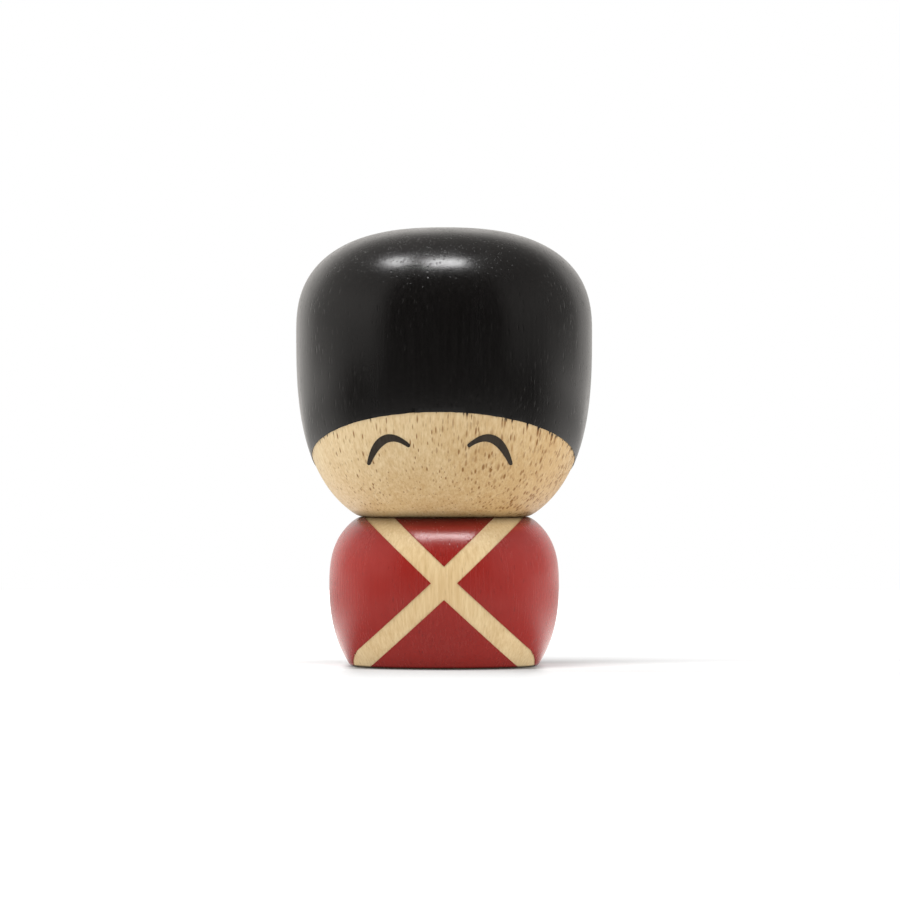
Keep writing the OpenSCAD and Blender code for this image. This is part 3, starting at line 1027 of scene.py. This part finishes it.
def liner_cloth():
    """Glowing tent liner, painted reflection light that only reflections see: dim walls and roof, dark to
    the front, white to the back.
    """
    material, tree, shader = finish("liner_cloth")
    tree.nodes.remove(shader)
    spot = own_place(tree)
    x, y, z = parted(vectors("NORMALIZE", spot)[0])
    walls = times(ranged(x, -0.5, 0.5, 0.58, 0.32), ranged(z, 0.4, 0.8, 1.0, 0.53))
    facing = parted(vectors("NORMALIZE", scaled(spot, 1.0, 1.0, 0.0))[0])[1]
    dark = times(ranged(facing, -0.74, -0.56, 1.0, 0.0, smooth=True),
                 ranged(z, 0.84, 0.95, 1.0, 0.0, smooth=True))
    walls = times(walls, ranged(dark, 0.0, 1.0, 1.0, 0.03))
    back = times(ranged(y, 0.45, 0.70, 0.0, 1.0, smooth=True),
                 ranged(z, 0.45, 0.70, 1.0, 0.0, smooth=True))
    walls = plus(walls, times(back, 0.58))
    away = vectors("LENGTH", spot)["Value"]
    near = maths("MINIMUM", ranged(away, 0.03, 0.09, 0.24, 0.50), ranged(away, 0.09, 0.30, 0.50, 0.05))
    fade = plus(ranged(away, 0.045, 0.09, 1.0, 0.45), ranged(away, 0.40, 0.80, 0.0, 0.35))
    behind = times(ranged(y, -0.25, 0.25, 0.0, 1.40), fade)
    ground = ranged(z, 0.03, 0.05, 1.0, 0.0)
    level = plus(times(plus(near, behind), ground), times(walls, minus(1.0, ground)))
    put_out(put(tree, "ShaderNodeEmission", {"Color": TENT_TINT, "Strength": level}))
    return material


class GUARDSMAN_OT_stage(bpy.types.Operator):
    """Set the pale floor, the light tent, its lamps and the camera"""
    bl_idname = "guardsman.stage"
    bl_label = "Stage"

    def execute(self, context):
        scene = context.scene
        colours = scene.guardsman_colours
        scene.view_settings.view_transform = "Standard"

        world = bpy.data.worlds.new("light_tent")
        world.use_nodes = True
        scene.world = world
        tree = world.node_tree
        tree.nodes.clear()
        level = ranged(seen_rays(tree), 0.0, 1.0, TENT_LEVEL, 1.0)
        tent = put(tree, "ShaderNodeBackground", {"Color": (1, 1, 1, 1), "Strength": level})
        put(tree, "ShaderNodeOutputWorld", {"Surface": tent.outputs[0]})

        bm = bmesh.new()
        bmesh.ops.create_circle(bm, cap_ends=True, cap_tris=False, segments=FLOOR_STEPS, radius=FLOOR_RADIUS)
        stage_piece(context, "floor", bm, floor_paper(colours))

        rises = [math.radians(a) for a in range(5, 90, 5)]
        arc = [(LINER_HOLE, LINER_LIFT), (LINER_RADIUS, LINER_LIFT)]
        arc += [(LINER_RADIUS * math.cos(a), LINER_RADIUS * math.sin(a)) for a in rises]
        liner = stage_piece(context, "tent_liner", turned(arc, LINER_STEPS), liner_cloth())
        liner.visible_camera = liner.visible_diffuse = False
        liner.visible_shadow = liner.visible_transmission = False

        for lamp in LAMPS:
            area_lamp(context, *lamp)

        data = bpy.data.cameras.new("camera")
        data.sensor_width, data.lens = CAMERA_SENSOR, CAMERA_LENS
        data.clip_start, data.clip_end = 0.01, 20.0
        camera = bpy.data.objects.new("camera", data)
        camera.location = CAMERA_SPOT
        camera.rotation_euler = (math.radians(90), 0, 0)
        scene.collection.objects.link(camera)
        scene.camera = camera
        return {"FINISHED"}


PIECE_OPERATORS = (
    GUARDSMAN_OT_body_block, GUARDSMAN_OT_neck_peg, GUARDSMAN_OT_head_block, GUARDSMAN_OT_cap_coat,
    GUARDSMAN_OT_chest_patches, GUARDSMAN_OT_skirt_patches, GUARDSMAN_OT_side_patches, GUARDSMAN_OT_eyes,
    GUARDSMAN_OT_stage)

GROUPS = {"guardsman_turning": GuardsmanTurning, "guardsman_livery": GuardsmanLivery,
          "guardsman_colours": GuardsmanColours}


class GUARDSMAN_PT_pieces(bpy.types.Panel):
    """Lists the pieces, their sizes and their colours."""
    bl_label = "Guardsman"
    bl_idname = "GUARDSMAN_PT_pieces"
    bl_space_type = "VIEW_3D"
    bl_region_type = "UI"
    bl_category = "Guardsman"

    def draw(self, context):
        for operator in PIECE_OPERATORS:
            self.layout.operator(operator.bl_idname)
        for label, group in GROUPS.items():
            box = self.layout.box()
            for name in group.__annotations__:
                box.prop(getattr(context.scene, label), name)


CLASSES = (*GROUPS.values(), *PIECE_OPERATORS, GUARDSMAN_PT_pieces)


def register():
    for made in CLASSES:
        bpy.utils.register_class(made)
    for label, group in GROUPS.items():
        setattr(bpy.types.Scene, label, bpy.props.PointerProperty(type=group))


def unregister():
    for label in GROUPS:
        delattr(bpy.types.Scene, label)
    for made in reversed(CLASSES):
        bpy.utils.unregister_class(made)


def main():
    register()
    bpy.ops.guardsman.body_block()
    bpy.ops.guardsman.neck_peg()
    bpy.ops.guardsman.head_block()
    bpy.ops.guardsman.cap_coat()
    bpy.ops.guardsman.chest_patches()
    bpy.ops.guardsman.skirt_patches()
    bpy.ops.guardsman.side_patches()
    bpy.ops.guardsman.eyes()
    bpy.ops.guardsman.stage()


if __name__ == "__main__":
    main()
